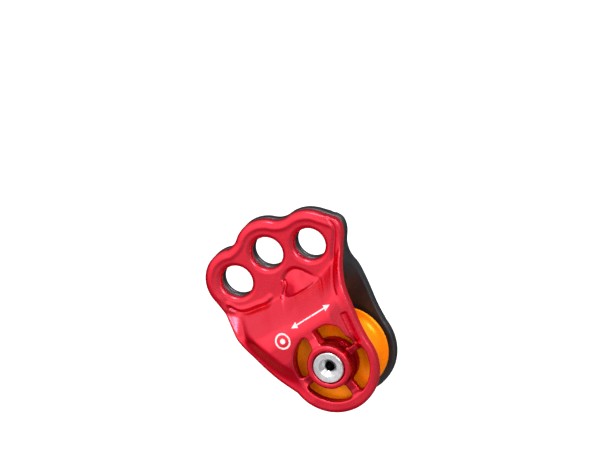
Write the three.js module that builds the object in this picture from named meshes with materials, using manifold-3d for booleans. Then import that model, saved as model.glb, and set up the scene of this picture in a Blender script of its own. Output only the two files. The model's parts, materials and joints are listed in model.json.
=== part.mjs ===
// Rope pulley with two swinging cheek plates, a ball-bearing sheave and three attachment holes.
// Millimetres, +Z up. The origin is the centre of the middle attachment hole, halfway between
// the plates. The axle lies along Y below it, and the front plate is on the -Y side.
import * as THREE from 'three';
import { mergeVertices } from 'three/addons/utils/BufferGeometryUtils.js';
import Module from 'manifold-3d';

const wasm = await Module();
wasm.setup();

// Driving dimensions.
const AXLE_DROP = 57.6;             // from the middle attachment hole down to the axle
const FIT_GAP = 0.3;                // running gap between neighbouring pieces
const PLATE_THICKNESS = 4.6;
const HALF_PLATE_GAP = 0.15;        // from the mid-plane to each plate, beside the attachment holes
const RIM_INNER = 10.4;             // inner face of the plate beside the sheave, from the mid-plane
const RIM_CENTRE = [-1.1, -0.6];    // centre of the plate's round lower end, from the axle
const RIM_RADIUS = 22.8;
const HUB_RADIUS = 10.4;
const HUB_FLARE = 0.6;              // how much wider the hub is below its rounded top
const HUB_INNER = 9.6;              // inner end of the plate's hub, from the mid-plane
const HUB_OUTER = 19.2;             // outer end of the plate's hub, from the mid-plane
const HUB_BORE = 6.9;
const HEAD_RECESS_RADIUS = 7.8;     // recess in the hub that takes the axle's head
const HEAD_RECESS_FLOOR = 16.05;
const ATTACHMENT_RADIUS = 7.45;
const ATTACHMENT_HOLES = [[-21.1, 53.8], [0, 57.6], [20.5, 50.8]];
const LOBES = [[-21.1, 53.8, 15.4], [0.3, 57.8, 15.7], [20.5, 50.8, 16.1]];
const RAMP_RUN = 11;                // height over which the plate swings out from lobes to rim
const INNER_CREASE_DROP = 2.2;      // how far the inner face's crease lies below the outer one's
const CREASE = [                    // line where the flat lobes end, from left to right
  [-41, 50], [-33, 42.6], [-28, 39.2], [-21, 38.2], [-6, 36.8], [0, 36], [14, 36], [22, 37.6],
  [31, 41.4], [43, 49],
];
const CROWN_HEIGHT = 2.2;           // swelling of the outer face above the hub
const SPOKE_RISE = 3.2;             // how far the spokes climb from the rim to the hub
const SPOKE_FOOT_RADIUS = 17.3;
const GRID_STEP = 5.2;              // spacing of the points on the plate's faces

const SHEAVE_RADIUS = 20.1;
const SHEAVE_HALF_WIDTH = 8.2;
const WEB_HALF_WIDTH = 7.4;
const SHEAVE_LIP_RADIUS = 9.7;      // bore of the lip that stops the bearing
const CLIP_GROOVE_RADIUS = 12.1;
const CLIP_THICKNESS = 0.7;
const ROPE_GROOVE_RADIUS = 6.7;     // for rope of up to 13 mm
const ROPE_GROOVE_CENTRE = 21;      // radius at which the groove's arc is centred

const AXLE_RADIUS = 5;
const AXLE_BORE = 2.2;
const COUNTERSINK_RADIUS = 4.4;
const HEAD_RADIUS = 7.45;
const HEAD_OUTER = 19.3;
const HEAD_UNDERSIDE = 16.9;
const RIVET_RADIUS = 3.9;           // reduced end of the axle that the nut goes over

const BEARING_HALF_WIDTH = 3;
const BEARING_BORE = 5.15;
const BEARING_OUTER = 11;
const INNER_SHOULDER = 7;
const OUTER_SHOULDER = 9;
const BALL_RADIUS = 1.59;
const BALL_PITCH = 8;
const BALL_COUNT = 9;
const RACE_GROOVE_RADIUS = 1.85;

const TWO_PI = Math.PI * 2;
const RING_SIDES = 32;
const WHEEL_SIDES = 40;

// Materials.
function metal(colour, roughness) {
  return new THREE.MeshStandardMaterial({ color: colour, roughness, metalness: 0.9 });
}
const redAnodised = () => metal(0xd2283c, 0.32);
const greyAnodised = () => metal(0x55555a, 0.42);
const orangeAnodised = () => metal(0xec7a12, 0.35);
const turnedSteel = () => metal(0xd6d6da, 0.25);
const bearingSteel = () => metal(0xb8babf, 0.2);
const bronze = () => metal(0xa98247, 0.4);
function plastic(colour) {
  return new THREE.MeshStandardMaterial({ color: colour, roughness: 0.55, metalness: 0 });
}

// Solid helpers.
function closed(geometry) {
  geometry.deleteAttribute('normal');
  geometry.deleteAttribute('uv');
  const merged = mergeVertices(geometry, 1e-4);
  return signedVolume(merged) < 0 ? flipped(merged) : merged;
}

function signedVolume(geometry) {
  const position = geometry.getAttribute('position');
  const index = geometry.getIndex().array;
  const [a, b, c] = [new THREE.Vector3(), new THREE.Vector3(), new THREE.Vector3()];
  let volume = 0;
  for (let i = 0; i < index.length; i += 3) {
    a.fromBufferAttribute(position, index[i]);
    b.fromBufferAttribute(position, index[i + 1]);
    c.fromBufferAttribute(position, index[i + 2]);
    volume += a.dot(b.cross(c)) / 6;
  }
  return volume;
}

function flipped(geometry) {
  const index = Array.from(geometry.getIndex().array);
  for (let i = 0; i < index.length; i += 3) {
    [index[i + 1], index[i + 2]] = [index[i + 2], index[i + 1]];
  }
  geometry.setIndex(index);
  return geometry;
}

function toSolid(geometry) {
  const mesh = closed(geometry);
  return new wasm.Manifold(new wasm.Mesh({
    numProp: 3,
    vertProperties: new Float32Array(mesh.getAttribute('position').array),
    triVerts: new Uint32Array(mesh.getIndex().array),
  }));
}

function fromSolid(solid) {
  const mesh = solid.getMesh();
  const geometry = new THREE.BufferGeometry();
  geometry.setAttribute('position', new THREE.BufferAttribute(new Float32Array(mesh.vertProperties), 3));
  geometry.setIndex(Array.from(mesh.triVerts));
  return geometry;
}

// A ring or disc turned about the Y axis from a closed [radius, y] profile.
function turned(profile, sides = RING_SIDES) {
  const points = profile.map(([radius, y]) => new THREE.Vector2(radius, y));
  points.push(points[0].clone());
  return closed(new THREE.LatheGeometry(points, sides));
}

function ring(inner, outer, low, high, sides = RING_SIDES) {
  return turned([[inner, low], [outer, low], [outer, high], [inner, high]], sides);
}

function piece(name, geometry, material) {
  geometry.computeVertexNormals();
  const mesh = new THREE.Mesh(geometry, material);
  mesh.name = name;
  return mesh;
}

function arcPoints(centreX, centreY, radius, from, to, count) {
  return Array.from({ length: count + 1 }, (_, i) => {
    const angle = from + ((to - from) * i) / count;
    return [centreX + radius * Math.cos(angle), centreY + radius * Math.sin(angle)];
  });
}

// Cheek plate. Its plan is drawn in X and Z about the axle; "out" is the distance from the mid-plane.
const degrees = (angle) => (angle * Math.PI) / 180;
const smoothStep = (t) => {
  const s = Math.min(Math.max(t, 0), 1);
  return s * s * (3 - 2 * s);
};

function plateOutline() {
  const shape = new THREE.Shape();
  const [left, middle, right] = LOBES;
  shape.absarc(RIM_CENTRE[0], RIM_CENTRE[1], RIM_RADIUS, degrees(187), degrees(363), false);
  shape.splineThru([[22.7, 9], [24.9, 18], [27, 27.5], [29.1, 35.2], [32.7, 41.4]].map(toVector));
  shape.splineThru([[37.4, 47], [39.1, 51.6], [38.2, 54.8], [36.2, 57.2], [33.5, 60.3]].map(toVector));
  shape.absarc(right[0], right[1], right[2], degrees(36), degrees(96), false);
  shape.quadraticCurveTo(14.4, 66.4, 11.2, 69);
  shape.absarc(middle[0], middle[1], middle[2], degrees(46), degrees(127), false);
  shape.quadraticCurveTo(-11.6, 68.5, -15.8, 68.3);
  shape.absarc(left[0], left[1], left[2], degrees(70), degrees(192), false);
  shape.splineThru([[-35.4, 43.6], [-34.9, 38], [-34.3, 29], [-32.1, 19], [-28.5, 7.5]].map(toVector));
  shape.closePath();
  return shape;
}

function toVector([x, y]) {
  return new THREE.Vector2(x, y);
}

// A lightening window between two spokes, from one angle to another. Its far side is an arc or the
// points given.
function windowOutline({ from, to, outerRadius, farSide }) {
  const inner = arcPoints(0, 0, HUB_RADIUS + FIT_GAP, degrees(to - 6), degrees(from + 6), 6);
  const outer = farSide ?? arcPoints(0, 0, outerRadius, degrees(from + 5), degrees(to - 5), 7);
  const middle = (HUB_RADIUS + outerRadius) / 2;
  const shoulder = (angle) => [middle * Math.cos(degrees(angle)), middle * Math.sin(degrees(angle))];
  return new THREE.Path([...inner, shoulder(from), ...outer, shoulder(to)].map(toVector));
}

const UPPER_LEFT_WINDOW = { from: 98, to: 174, outerRadius: 17.5 };
const LOWER_LEFT_WINDOW = { from: 192, to: 266, outerRadius: 18.3 };
const LOWER_RIGHT_WINDOW = { from: 285, to: 357, outerRadius: 18.4 };
const FRONT_WINDOWS = [
  {
    from: 11, to: 79, outerRadius: 17.3,
    farSide: [[13.8, 3.6], [14.8, 6.5], [14.8, 13.4], [12.4, 16.6], [9, 17.5], [4.5, 17.4]],
  },
  UPPER_LEFT_WINDOW, LOWER_LEFT_WINDOW, LOWER_RIGHT_WINDOW,
];
const REAR_WINDOWS = [
  { from: 11, to: 79, outerRadius: 17.3 },
  UPPER_LEFT_WINDOW, LOWER_LEFT_WINDOW, LOWER_RIGHT_WINDOW,
];

// Height of the crease where the flat lobes end and the plate starts to swing out.
function creaseHeight(x) {
  const next = Math.max(1, CREASE.findIndex(([corner]) => x <= corner));
  const [[x0, z0], [x1, z1]] = CREASE.slice(next - 1, next + 1);
  return z0 + ((z1 - z0) * (x - x0)) / (x1 - x0);
}

// 0 on the lobes to 1 beside the sheave.
function ramp(x, z, below) {
  return smoothStep((creaseHeight(x) - below - z) / RAMP_RUN);
}

function innerFace(x, z) {
  return HALF_PLATE_GAP + (RIM_INNER - HALF_PLATE_GAP) * ramp(x, z, INNER_CREASE_DROP);
}

function outerFace(x, z) {
  const fromAxle = Math.hypot(x, z);
  const plate = HALF_PLATE_GAP + PLATE_THICKNESS + (RIM_INNER - HALF_PLATE_GAP) * ramp(x, z, 0);
  const alongSpoke = (SPOKE_FOOT_RADIUS - fromAxle) / (SPOKE_FOOT_RADIUS - HUB_RADIUS);
  const spoke = SPOKE_RISE * Math.min(Math.max(alongSpoke, 0), 1);
  const crown = CROWN_HEIGHT * Math.exp(-((x / 15) ** 2) - ((z - 18) / 9) ** 2) * smoothStep((32 - z) / 9);
  return plate + Math.min(spoke + crown, SPOKE_RISE);
}

// A slab between the plate's two faces, over a grid that is larger than the plate and finest on the ramp.
function dishedSlab() {
  const xs = gridLines(-40, 42, GRID_STEP);
  const zs = [...gridLines(-26, 22, 4.8), ...gridLines(22, 48, 2).slice(1), 60, 78];
  const positions = [];
  const index = [];
  for (const face of [innerFace, outerFace]) {
    zs.forEach((z) => xs.forEach((x) => positions.push(x, -face(x, z), z)));
  }
  const layer = xs.length * zs.length;
  const quad = (a, b, c, d) => index.push(a, b, c, a, c, d);
  for (let row = 0; row + 1 < zs.length; row += 1) {
    for (let column = 0; column + 1 < xs.length; column += 1) {
      const corner = row * xs.length + column;
      const above = corner + xs.length;
      quad(corner, above, above + 1, corner + 1);
      quad(layer + corner, layer + corner + 1, layer + above + 1, layer + above);
    }
  }
  const border = borderLoop(xs.length, zs.length);
  border.forEach((here, i) => {
    const next = border[(i + 1) % border.length];
    quad(here, next, layer + next, layer + here);
  });
  const geometry = new THREE.BufferGeometry();
  geometry.setAttribute('position', new THREE.Float32BufferAttribute(positions, 3));
  geometry.setIndex(index);
  return geometry;
}

function gridLines(low, high, step) {
  const count = Math.ceil((high - low) / step);
  return Array.from({ length: count + 1 }, (_, i) => low + ((high - low) * i) / count);
}

function borderLoop(columns, rows) {
  const loop = [];
  for (let c = 0; c < columns - 1; c += 1) loop.push(c);
  for (let r = 0; r < rows - 1; r += 1) loop.push(r * columns + columns - 1);
  for (let c = columns - 1; c > 0; c -= 1) loop.push((rows - 1) * columns + c);
  for (let r = rows - 1; r > 0; r -= 1) loop.push(r * columns);
  return loop;
}

function plateGeometry(windows) {
  const plan = plateOutline();
  plan.holes.push(...windows.map(windowOutline));
  plan.holes.push(...ATTACHMENT_HOLES.map(([x, z]) => {
    return new THREE.Path(arcPoints(x, z, ATTACHMENT_RADIUS, TWO_PI, TWO_PI / 28, 27).map(toVector));
  }));
  const prism = new THREE.ExtrudeGeometry(plan, { depth: 24, bevelEnabled: false, curveSegments: 6 });
  prism.rotateX(Math.PI / 2);
  const hub = turned([
    [HUB_BORE, -HUB_INNER], [HUB_RADIUS, -HUB_INNER], [HUB_RADIUS + HUB_FLARE, -RIM_INNER - 1],
    [HUB_RADIUS + HUB_FLARE, -HUB_OUTER + 0.8], [HUB_RADIUS, -HUB_OUTER], [HEAD_RECESS_RADIUS, -HUB_OUTER],
    [HEAD_RECESS_RADIUS, -HEAD_RECESS_FLOOR], [HUB_BORE, -HEAD_RECESS_FLOOR],
  ]);
  const hubSpace = turned([[0, 5], [HUB_RADIUS, 5], [HUB_RADIUS, -25], [0, -25]]);
  const dished = toSolid(dishedSlab()).intersect(toSolid(prism));
  return fromSolid(dished.subtract(toSolid(hubSpace)).add(toSolid(hub)));
}

function mirroredThroughMidPlane(geometry) {
  return flipped(geometry.clone().scale(1, -1, 1));
}

function plates() {
  return [
    piece('front_side_plate', plateGeometry(FRONT_WINDOWS), redAnodised()),
    piece('rear_side_plate', mirroredThroughMidPlane(plateGeometry(REAR_WINDOWS)), greyAnodised()),
  ];
}

// Axle: one hollow pin with a countersunk head at the front, held by a nut at the rear.
function axleGeometry() {
  return turned([
    [AXLE_BORE, -HEAD_UNDERSIDE], [COUNTERSINK_RADIUS, -HEAD_OUTER], [HEAD_RADIUS - 0.5, -HEAD_OUTER],
    [HEAD_RADIUS, -HEAD_OUTER + 0.5], [HEAD_RADIUS, -HEAD_UNDERSIDE], [AXLE_RADIUS, -HEAD_UNDERSIDE],
    [AXLE_RADIUS, HEAD_UNDERSIDE], [RIVET_RADIUS, HEAD_UNDERSIDE], [RIVET_RADIUS, HEAD_OUTER - 0.4],
    [AXLE_BORE, HEAD_OUTER - 0.4],
  ]);
}

function axleNutGeometry() {
  const underside = HEAD_UNDERSIDE + FIT_GAP;
  return turned([
    [RIVET_RADIUS + FIT_GAP, underside], [HEAD_RADIUS, underside],
    [HEAD_RADIUS, HEAD_OUTER - 0.5], [HEAD_RADIUS - 0.5, HEAD_OUTER],
    [RIVET_RADIUS + 0.7, HEAD_OUTER], [RIVET_RADIUS + FIT_GAP, HEAD_OUTER - 0.4],
  ]);
}

// Rings on the axle, outside the bearing. side is -1 at the front and +1 at the rear.
function axleRings(place, side) {
  const span = (inner, outer, near, far) => {
    return ring(inner, outer, Math.min(side * near, side * far), Math.max(side * near, side * far));
  };
  const onAxle = AXLE_RADIUS + FIT_GAP;
  const spacerEnd = SHEAVE_HALF_WIDTH - 0.1;
  const recess = HEAD_RECESS_FLOOR;
  return [
    piece(`${place}_spacer`, span(onAxle, 7.2, BEARING_HALF_WIDTH + FIT_GAP, spacerEnd), turnedSteel()),
    piece(`${place}_thrust_washer`, span(onAxle, 8.8, spacerEnd + FIT_GAP, HUB_INNER - FIT_GAP), bronze()),
    piece(`${place}_plate_bush`, span(onAxle, HUB_BORE - FIT_GAP, HUB_INNER, recess), bronze()),
    piece(`${place}_head_washer`, span(onAxle, 7.4, recess + 0.25, recess + 0.55), plastic(0x1c1c1e)),
  ];
}

// Bearing.
function innerRaceGeometry() {
  const groove = arcPoints(BALL_PITCH, 0, RACE_GROOVE_RADIUS, degrees(237), degrees(123), 6);
  return turned([
    [BEARING_BORE, -BEARING_HALF_WIDTH], [INNER_SHOULDER, -BEARING_HALF_WIDTH],
    ...groove,
    [INNER_SHOULDER, BEARING_HALF_WIDTH], [BEARING_BORE, BEARING_HALF_WIDTH],
  ]);
}

function outerRaceGeometry() {
  const groove = arcPoints(BALL_PITCH, 0, RACE_GROOVE_RADIUS, degrees(57), degrees(-57), 6);
  return turned([
    [BEARING_OUTER, -BEARING_HALF_WIDTH], [BEARING_OUTER, BEARING_HALF_WIDTH],
    [OUTER_SHOULDER, BEARING_HALF_WIDTH],
    ...groove,
    [OUTER_SHOULDER, -BEARING_HALF_WIDTH],
  ]);
}

function ballPlaces() {
  return Array.from({ length: BALL_COUNT }, (_, i) => {
    const angle = (TWO_PI * i) / BALL_COUNT;
    return new THREE.Vector3(BALL_PITCH * Math.cos(angle), 0, BALL_PITCH * Math.sin(angle));
  });
}

function cageGeometry() {
  let cage = toSolid(ring(7.3, 8.7, -2.45, 2.45, 27));
  for (const place of ballPlaces()) {
    const pocket = new THREE.SphereGeometry(BALL_RADIUS + FIT_GAP, 8, 6).translate(...place.toArray());
    cage = cage.subtract(toSolid(pocket));
  }
  return fromSolid(cage);
}

function bearing() {
  const balls = ballPlaces().map((place, i) => {
    const sphere = closed(new THREE.SphereGeometry(BALL_RADIUS, 8, 6));
    const ball = piece(`bearing_ball_${i + 1}`, sphere, bearingSteel());
    ball.position.copy(place);
    return ball;
  });
  const shield = (low) => ring(INNER_SHOULDER + FIT_GAP, OUTER_SHOULDER - 0.1, low, low + 0.2);
  return [
    piece('bearing_inner_race', innerRaceGeometry(), bearingSteel()),
    piece('bearing_outer_race', outerRaceGeometry(), bearingSteel()),
    piece('bearing_cage', cageGeometry(), bronze()),
    piece('front_bearing_shield', shield(-2.95), plastic(0x202225)),
    piece('rear_bearing_shield', shield(2.75), plastic(0x202225)),
    ...balls,
  ];
}

// Sheave, with a lip that stops the bearing at the front and a groove for its circlip at the rear.
function sheaveGeometry() {
  const seat = BEARING_OUTER + FIT_GAP;
  const bearingFace = BEARING_HALF_WIDTH + FIT_GAP;
  const clipEnd = BEARING_HALF_WIDTH + CLIP_THICKNESS + 3 * FIT_GAP;
  const lip = Math.acos((ROPE_GROOVE_CENTRE - SHEAVE_RADIUS + 0.35) / ROPE_GROOVE_RADIUS);
  const groove = arcPoints(ROPE_GROOVE_CENTRE, 0, ROPE_GROOVE_RADIUS, Math.PI - lip, Math.PI + lip, 8);
  const rearFlange = [
    [12, WEB_HALF_WIDTH], [14, WEB_HALF_WIDTH], [18.2, SHEAVE_HALF_WIDTH],
    [SHEAVE_RADIUS - 0.5, SHEAVE_HALF_WIDTH], [SHEAVE_RADIUS, SHEAVE_HALF_WIDTH - 0.5],
    [SHEAVE_RADIUS, SHEAVE_HALF_WIDTH - 1.2],
  ];
  const frontFlange = rearFlange.map(([radius, y]) => [radius, -y]).reverse();
  return turned([
    [seat, clipEnd], [seat, WEB_HALF_WIDTH - 0.6], ...rearFlange, ...groove, ...frontFlange,
    [SHEAVE_LIP_RADIUS, -WEB_HALF_WIDTH], [SHEAVE_LIP_RADIUS, -bearingFace], [seat, -bearingFace],
    [seat, bearingFace], [CLIP_GROOVE_RADIUS, bearingFace], [CLIP_GROOVE_RADIUS, clipEnd],
  ], WHEEL_SIDES);
}

function circlipGeometry() {
  const halfOpening = degrees(14);
  const start = Math.PI / 2 + halfOpening;
  const end = Math.PI / 2 + TWO_PI - halfOpening;
  const outer = arcPoints(0, 0, CLIP_GROOVE_RADIUS - FIT_GAP, start, end, 24);
  const inner = arcPoints(0, 0, SHEAVE_LIP_RADIUS + 0.2, end, start, 24);
  const clip = new THREE.Shape([...outer, ...inner].map(toVector));
  const geometry = new THREE.ExtrudeGeometry(clip, { depth: CLIP_THICKNESS, bevelEnabled: false });
  geometry.rotateX(Math.PI / 2).translate(0, BEARING_HALF_WIDTH + 2 * FIT_GAP + CLIP_THICKNESS, 0);
  return closed(geometry);
}

// Assembly, drawn about the axle and hung below the middle attachment hole.
const pulley = new THREE.Group();
const aboutAxle = new THREE.Group();
aboutAxle.position.z = -AXLE_DROP;
pulley.add(aboutAxle);
aboutAxle.add(
  ...plates(),
  piece('axle', axleGeometry(), turnedSteel()),
  piece('axle_nut', axleNutGeometry(), turnedSteel()),
  ...axleRings('front', -1),
  ...axleRings('rear', 1),
  ...bearing(),
  piece('sheave', sheaveGeometry(), orangeAnodised()),
  piece('bearing_circlip', circlipGeometry(), bearingSteel()),
);

export default pulley;
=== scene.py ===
"""Rope pulley: fine meshes, materials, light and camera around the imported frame.

Shapes are written in millimetres about the axle: x to the right, z up, and "out" is the
distance from the mid-plane between the side plates. They become metres in the row frame last.
"""
import json
import math

import bmesh
import bpy
import numpy as np
from mathutils import Matrix, Vector

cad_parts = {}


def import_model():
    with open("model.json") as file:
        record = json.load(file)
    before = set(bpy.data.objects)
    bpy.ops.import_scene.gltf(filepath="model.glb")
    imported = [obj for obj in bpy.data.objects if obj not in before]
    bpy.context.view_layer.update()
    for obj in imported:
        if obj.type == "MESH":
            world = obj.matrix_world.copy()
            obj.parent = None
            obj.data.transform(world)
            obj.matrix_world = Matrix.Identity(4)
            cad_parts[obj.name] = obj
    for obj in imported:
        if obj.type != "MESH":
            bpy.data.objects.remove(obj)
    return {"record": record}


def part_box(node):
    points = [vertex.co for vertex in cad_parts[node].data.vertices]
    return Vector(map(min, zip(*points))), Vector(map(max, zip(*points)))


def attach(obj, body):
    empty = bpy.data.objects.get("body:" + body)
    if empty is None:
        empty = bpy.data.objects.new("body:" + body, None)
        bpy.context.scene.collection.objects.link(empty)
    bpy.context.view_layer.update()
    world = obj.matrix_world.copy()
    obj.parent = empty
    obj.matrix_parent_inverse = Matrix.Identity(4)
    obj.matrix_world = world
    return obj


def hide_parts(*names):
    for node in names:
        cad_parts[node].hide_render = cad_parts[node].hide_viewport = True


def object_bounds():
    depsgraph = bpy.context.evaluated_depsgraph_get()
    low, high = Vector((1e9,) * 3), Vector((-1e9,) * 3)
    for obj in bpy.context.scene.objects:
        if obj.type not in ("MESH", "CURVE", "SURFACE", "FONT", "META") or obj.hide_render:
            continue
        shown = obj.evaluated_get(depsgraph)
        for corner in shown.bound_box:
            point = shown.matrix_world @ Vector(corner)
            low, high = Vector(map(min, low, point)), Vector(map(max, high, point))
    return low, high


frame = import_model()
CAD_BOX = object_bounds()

MM = 0.001
FRONT, REAR = -1, 1


def centre_of(node):
    low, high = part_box(node)
    return (Vector(low) + Vector(high)) / 2


AXLE = Vector((0.0, 0.0, centre_of("axle").z))      # the axle's axis crosses the mid-plane here

# ---------------------------------------------------------------- dimensions, millimetres

PLATE_THICKNESS = 4.6
HALF_PLATE_GAP = 0.15
RIM_INNER = 10.4
RIM_CENTRE = (-1.1, -0.6)
RIM_RADIUS = 22.8
HUB_RADIUS = 10.4
LEDGE = 1.1                         # how far the foot of a window's wall stands out
LEDGE_OUT = 12.4                    # height of that foot
HUB_INNER = 9.6
HUB_LIP_BORE = 9.2                  # lip of the hub that hides the thrust washer
HUB_LIP_INNER = 7.9
HUB_OUTER = 19.2
HUB_BORE = 6.9
HEAD_RECESS_RADIUS = 7.8
HEAD_RECESS_FLOOR = 16.05
HEAD_RADIUS = 7.45                  # of the axle's head and of the nut
HEAD_OUTER = 19.3                   # flat end of the head and of the nut
HEAD_UNDERSIDE = 16.9
AXLE_RADIUS = 5.0
AXLE_BORE = 2.2
RIVET_RADIUS = 3.9                  # reduced end of the axle that the nut goes over
SHEAVE_RADIUS = 20.1
SHEAVE_HALF_WIDTH = 8.2
WEB_HALF_WIDTH = 7.4
BEARING_SEAT_RADIUS = 11.3
BEARING_STOP = 3.3                  # where the sheave's lip and its circlip groove begin, from mid-plane
SHEAVE_LIP_RADIUS = 9.7
CLIP_GROOVE_RADIUS = 12.1
CLIP_GROOVE_END = 4.6
ROPE_GROOVE_RADIUS = 6.7
ROPE_GROOVE_CENTRE = 21.0
BALL_RADIUS = 1.59
BALL_PITCH = 8.0                    # radius of the circle through the balls' centres
BALL_COUNT = 9
RACE_GROOVE_RADIUS = 1.85
BEARING_HALF_WIDTH = 3.0
ATTACHMENT_RADIUS = 7.45
ATTACHMENT_HOLES = ((-21.1, 53.8), (0.0, 57.6), (20.5, 50.8))
LOBES = ((-21.1, 53.8, 15.4), (0.3, 57.8, 15.7), (20.5, 50.8, 16.1))
LOBE_OUTER = HALF_PLATE_GAP + PLATE_THICKNESS
RAMP_RUN = 11.0                     # height over which the plate swings out from lobes to rim
NET_STEP = 0.4                      # grid of the sampled plate


# ---------------------------------------------------------------- plan outlines

def arc(centre, radius, start, end, count=24):
    angles = np.radians(np.linspace(start, end, count))
    return np.stack([centre[0] + radius * np.cos(angles), centre[1] + radius * np.sin(angles)], axis=1)


def spline(points, per_span=8):
    """Catmull-Rom curve through the points."""
    p = np.asarray(points, float)
    p = np.vstack([2 * p[0] - p[1], p, 2 * p[-1] - p[-2]])
    t = np.linspace(0, 1, per_span, endpoint=False)[:, None]
    spans = []
    for a, b, c, d in zip(p, p[1:], p[2:], p[3:]):
        spans.append(0.5 * (2 * b + (c - a) * t + (2 * a - 5 * b + 4 * c - d) * t ** 2
                            + (3 * b - a - 3 * c + d) * t ** 3))
    return np.vstack(spans)


def bend(start, control, end, count=8):
    """Quadratic curve between two outline stretches."""
    a, b, c = (np.asarray(v, float) for v in (start, control, end))
    t = np.linspace(0, 1, count + 2)[1:-1, None]
    return (1 - t) ** 2 * a + 2 * t * (1 - t) * b + t ** 2 * c


def plate_outline():
    left, middle, right = (((x, z), radius) for x, z, radius in LOBES)
    bottom = arc(RIM_CENTRE, RIM_RADIUS, 187, 363, 48)
    lobe_3 = arc(*right, 36, 96)
    lobe_2 = arc(*middle, 46, 127)
    lobe_1 = arc(*left, 70, 192, 40)
    right_side = spline([bottom[-1], (22.8, 9), (24.9, 18), (27, 27.5), (29.1, 35.2), (32.7, 41.4),
                         (37.4, 47), (39.1, 51.6), (38.2, 54.8), (36.2, 57.2), lobe_3[0]])
    left_side = spline([lobe_1[-1], (-35.6, 43.6), (-35.2, 38), (-34.7, 29), (-32.5, 19), (-28.9, 7.5),
                        bottom[0]])
    return np.vstack([
        bottom, right_side[1:], lobe_3, bend(lobe_3[-1], (14.4, 66.4), lobe_2[0]), lobe_2,
        bend(lobe_2[-1], (-11.6, 68.5), lobe_1[0]), lobe_1, left_side[1:],
    ])


def squared_distance(start, end, x, z):
    """Squared distance in the plan to one straight stretch."""
    dx, dz = end[0] - start[0], end[1] - start[1]
    t = ((x - start[0]) * dx + (z - start[1]) * dz) / max(dx * dx + dz * dz, 1e-12)
    t = np.clip(t, 0, 1)
    return (x - start[0] - t * dx) ** 2 + (z - start[1] - t * dz) ** 2


def distance_to_line(points, x, z):
    """Distance in the plan to an open line through the points."""
    return np.sqrt(np.min([squared_distance(a, b, x, z) for a, b in zip(points, points[1:])], axis=0))


def distance_to_outline(outline, x, z):
    """Signed distance in the plan, negative inside."""
    best = np.full(x.shape, np.inf)
    inside = np.zeros(x.shape, bool)
    for a, b in zip(outline, np.roll(outline, -1, axis=0)):
        best = np.minimum(best, squared_distance(a, b, x, z))
        if a[1] != b[1]:
            crosses = (a[1] > z) != (b[1] > z)
            inside ^= crosses & (x < a[0] + (z - a[1]) * (b[0] - a[0]) / (b[1] - a[1]))
    return np.where(inside, -1, 1) * np.sqrt(best)


# ---------------------------------------------------------------- implicit solids

def rounded_max(a, b, radius):
    """Intersection of two signed distances with its edge rounded."""
    u = np.maximum(a + radius, 0)
    v = np.maximum(b + radius, 0)
    return np.minimum(np.maximum(a, b), -radius) + np.sqrt(u * u + v * v)


def rounded_min(a, b, radius):
    """Union of two signed distances with a fillet between them."""
    return -rounded_max(-a, -b, radius)


def smooth_step(t):
    s = np.clip(t, 0, 1)
    return s * s * (3 - 2 * s)


def bump(distance, half_width):
    return np.exp(-(distance / half_width) ** 2)


def sample_at(grid, points):
    """Trilinear values of a grid at fractional grid positions."""
    top = np.array(grid.shape[:3]) - 2
    base = np.clip(np.floor(points).astype(int), 0, top)
    f = points - base
    value = 0
    for i in (0, 1):
        for j in (0, 1):
            for k in (0, 1):
                weight = (f[:, 0] if i else 1 - f[:, 0]) * (f[:, 1] if j else 1 - f[:, 1])
                weight = weight * (f[:, 2] if k else 1 - f[:, 2])
                corner = grid[base[:, 0] + i, base[:, 1] + j, base[:, 2] + k]
                value = value + (weight[:, None] * corner if corner.ndim > 1 else weight * corner)
    return value


def surface_net(field):
    """Vertices, in grid steps, and quads of a field's zero level; the field is negative inside."""
    shape = np.array(field.shape) - 1
    inside = field < 0
    count = np.zeros(shape, np.int8)
    corners = [(i, j, k) for i in (0, 1) for j in (0, 1) for k in (0, 1)]
    for i, j, k in corners:
        count += inside[i:i + shape[0], j:j + shape[1], k:k + shape[2]]
    cells = np.argwhere((count > 0) & (count < 8))
    number = np.full(shape, -1)
    number[tuple(cells.T)] = np.arange(len(cells))

    total = np.zeros((len(cells), 3))
    crossings = np.zeros(len(cells))
    for a in corners:
        for axis in range(3):
            if a[axis]:
                continue
            b = tuple(1 if n == axis else a[n] for n in range(3))
            fa = field[tuple((cells + a).T)]
            fb = field[tuple((cells + b).T)]
            hit = (fa < 0) != (fb < 0)
            t = np.where(hit, fa / np.where(hit, fa - fb, 1), 0)
            place = np.array(a, float) + t[:, None] * np.eye(3)[axis]
            total += place * hit[:, None]
            crossings += hit
    vertices = cells + total / crossings[:, None]

    gradient = np.stack(np.gradient(field), axis=-1)
    for _ in range(3):
        slope = sample_at(gradient, vertices)
        value = sample_at(field, vertices)
        move = -value[:, None] * slope / np.maximum((slope ** 2).sum(1), 1e-9)[:, None]
        reach = np.linalg.norm(move, axis=1)
        vertices = vertices + move * np.minimum(1, 0.4 / np.maximum(reach, 1e-9))[:, None]

    quads = []
    for axis in range(3):
        u, v = (axis + 1) % 3, (axis + 2) % 3
        low = [slice(None)] * 3
        high = [slice(None)] * 3
        low[axis], high[axis] = slice(0, -1), slice(1, None)
        starts = np.argwhere(inside[tuple(low)] != inside[tuple(high)])
        starts = starts[(starts[:, u] > 0) & (starts[:, v] > 0)]
        starts = starts[(starts[:, u] < shape[u]) & (starts[:, v] < shape[v])]
        step_u, step_v = np.eye(3, dtype=int)[u], np.eye(3, dtype=int)[v]
        around = (starts - step_u - step_v, starts - step_v, starts, starts - step_u)
        quad = np.stack([number[tuple(c.T)] for c in around], axis=1)
        leaving = inside[tuple(starts.T)]
        quads.append(np.where(leaving[:, None], quad, quad[:, ::-1]))
    return vertices, np.vstack(quads)


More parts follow.
